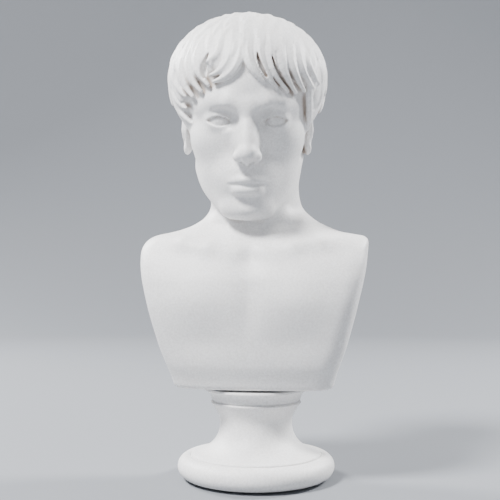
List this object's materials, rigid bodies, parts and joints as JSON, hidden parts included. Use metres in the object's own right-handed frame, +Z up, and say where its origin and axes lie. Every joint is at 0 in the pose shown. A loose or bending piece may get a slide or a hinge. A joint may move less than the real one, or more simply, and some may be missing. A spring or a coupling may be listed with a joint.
{
  "type": "marble bust",
  "caption": "Small classical head-and-chest bust in white marble, cut square at the shoulders, turning on a round turned socle.",
  "frame": {"origin": "centre of the felt pad's underside, on the axis of the rod and the socle", "axes": "+Z up, the chest faces -Y, +X to the viewer's right"},
  "size_m": [0.1415, 0.112, 0.2995],
  "materials": {
    "marble": "honed matt white, faint grain, thin brown tone in the hollows",
    "felt": "grey wool felt",
    "fastener_steel": "bright zinc plated",
    "resin": "set polyester stone resin, unpolished",
    "shim": "dark grey sheet, edge only just seen"
  },
  "bodies": {
    "base": {"socle": "marble", "felt_pad": "felt", "penny_washer": "fastener_steel", "seat_shim": "shim"},
    "figure": {"bust": "marble", "tie_rod": "fastener_steel", "rod_resin": "resin", "clamp_nut": "fastener_steel", "spring_washer": "fastener_steel"}
  },
  "joints": [
    {"name": "bust_swivel", "type": "hinge", "parent": "base", "child": "figure", "pos_m": [0, 0, 0.058], "axis": [0, 0, 1], "continuous": true}
  ]
}
